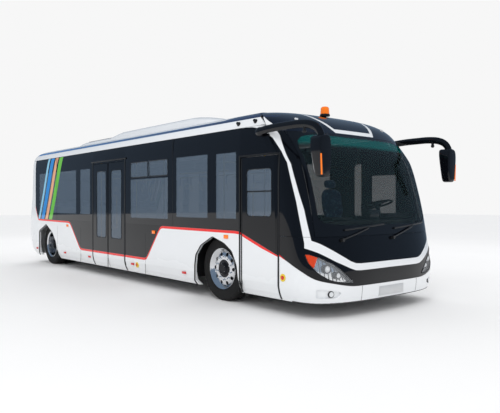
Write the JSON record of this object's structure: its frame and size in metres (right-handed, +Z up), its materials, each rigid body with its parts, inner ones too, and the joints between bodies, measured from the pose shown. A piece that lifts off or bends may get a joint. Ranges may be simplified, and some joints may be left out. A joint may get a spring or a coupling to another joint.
{
  "type": "airport passenger bus",
  "caption": "Low-floor airport apron bus with a black glass band, swinging passenger doors, steered front wheels, twin rear wheels and long-arm mirrors.",
  "frame": {"origin": "centre of the footprint of the whole bus with its mirrors, on the ground", "axes": "+Z up, -Y the front of the bus, +X its left side"},
  "size_m": [2.92, 9.865, 2.93],
  "materials": {
    "white_paint": "gloss",
    "black_gloss": "gloss",
    "dark_glass": "gloss",
    "clear_glass": "gloss",
    "dark_steel": "satin",
    "cast_metal": "satin",
    "polished_alloy": "polished",
    "tyre_rubber": "matte",
    "black_plastic": "matte",
    "grey_vinyl": "matte",
    "seat_fabric": "matte",
    "rail_yellow": "satin",
    "amber_lens": "gloss",
    "lamp_chrome": "gloss"
  },
  "bodies": {
    "bus_body": {"beacon": "amber_lens", "cabin_floor": "grey_vinyl", "chassis_frame": "dark_steel", "dashboard": "black_plastic", "driver_platform": "grey_vinyl", "driver_seat": "seat_fabric", "engine": "cast_metal", "front_axle_beam": "cast_metal", "front_bumper": "white_paint", "front_dome": "black_gloss", "front_panel": "black_gloss", "grab_rails": "rail_yellow", "headlight_left": "lamp_chrome", "headlight_right": "lamp_chrome", "left_glass_front": "dark_glass", "left_glass_rear": "dark_glass", "left_side_wall": "white_paint", "mirror_left": "black_gloss", "mirror_right": "black_gloss", "rear_axle": "cast_metal", "rear_bench": "seat_fabric", "rear_platform": "grey_vinyl", "rear_wall": "white_paint", "rear_window": "dark_glass", "right_glass_front": "dark_glass", "right_glass_rear": "dark_glass", "right_side_wall": "white_paint", "roof_air_conditioner": "white_paint", "roof_panel": "white_paint", "steering_wheel": "black_plastic", "wheel_box_left": "grey_vinyl", "wheel_box_right": "grey_vinyl", "windscreen": "clear_glass", "windscreen_pillar_left": "black_gloss", "windscreen_pillar_right": "black_gloss"},
    "front_door": {"front_door": "black_gloss", "front_door_glass": "dark_glass"},
    "mid_door_front_leaf": {"mid_door_front_leaf": "black_gloss", "mid_door_front_leaf_glass": "dark_glass"},
    "mid_door_rear_leaf": {"mid_door_rear_leaf": "black_gloss", "mid_door_rear_leaf_glass": "dark_glass"},
    "engine_lid": {"engine_lid": "white_paint"},
    "knuckle_left": {"steering_knuckle_left": "cast_metal"},
    "knuckle_right": {"steering_knuckle_right": "cast_metal"},
    "front_wheel_left": {"front_rim_left": "polished_alloy", "front_tyre_left": "tyre_rubber"},
    "front_wheel_right": {"front_rim_right": "polished_alloy", "front_tyre_right": "tyre_rubber"},
    "rear_wheels_left": {"rear_rims_left": "polished_alloy", "rear_tyres_left": "tyre_rubber"},
    "rear_wheels_right": {"rear_rims_right": "polished_alloy", "rear_tyres_right": "tyre_rubber"}
  },
  "joints": [
    {"name": "steer_left", "type": "hinge", "parent": "bus_body", "child": "knuckle_left", "pos_m": [0.93, -2.7975, 0.46208], "axis": [0, 0, 1], "range_deg": [-38, 38]},
    {"name": "steer_right", "type": "hinge", "parent": "bus_body", "child": "knuckle_right", "pos_m": [-0.93, -2.7975, 0.46208], "axis": [0, 0, 1], "range_deg": [-38, 38]},
    {"name": "front_left_spin", "type": "hinge", "parent": "knuckle_left", "child": "front_wheel_left", "pos_m": [1.1025, -2.7975, 0.46208], "axis": [1, 0, 0], "continuous": true},
    {"name": "front_right_spin", "type": "hinge", "parent": "knuckle_right", "child": "front_wheel_right", "pos_m": [-1.1025, -2.7975, 0.46208], "axis": [1, 0, 0], "continuous": true},
    {"name": "rear_left_spin", "type": "hinge", "parent": "bus_body", "child": "rear_wheels_left", "pos_m": [0.9475, 3.7225, 0.46208], "axis": [1, 0, 0], "continuous": true},
    {"name": "rear_right_spin", "type": "hinge", "parent": "bus_body", "child": "rear_wheels_right", "pos_m": [-0.9475, 3.7225, 0.46208], "axis": [1, 0, 0], "continuous": true},
    {"name": "front_door_hinge", "type": "hinge", "parent": "bus_body", "child": "front_door", "pos_m": [-1.36, -4.1075, 0.19], "axis": [0, 0, 1], "range_deg": [0, 90]},
    {"name": "mid_door_front_hinge", "type": "hinge", "parent": "bus_body", "child": "mid_door_front_leaf", "pos_m": [-1.36, -0.0635, 0.19], "axis": [0, 0, 1], "range_deg": [0, 90]},
    {"name": "mid_door_rear_hinge", "type": "hinge", "parent": "bus_body", "child": "mid_door_rear_leaf", "pos_m": [-1.36, 1.2285, 0.19], "axis": [0, 0, -1], "range_deg": [0, 90]},
    {"name": "engine_lid_hinge", "type": "hinge", "parent": "bus_body", "child": "engine_lid", "pos_m": [0, 4.8585, 1.35], "axis": [1, 0, 0], "range_deg": [0, 75]}
  ],
  "couplings": [
    {"joint": "steer_right", "follows": "steer_left", "ratio": 1}
  ]
}
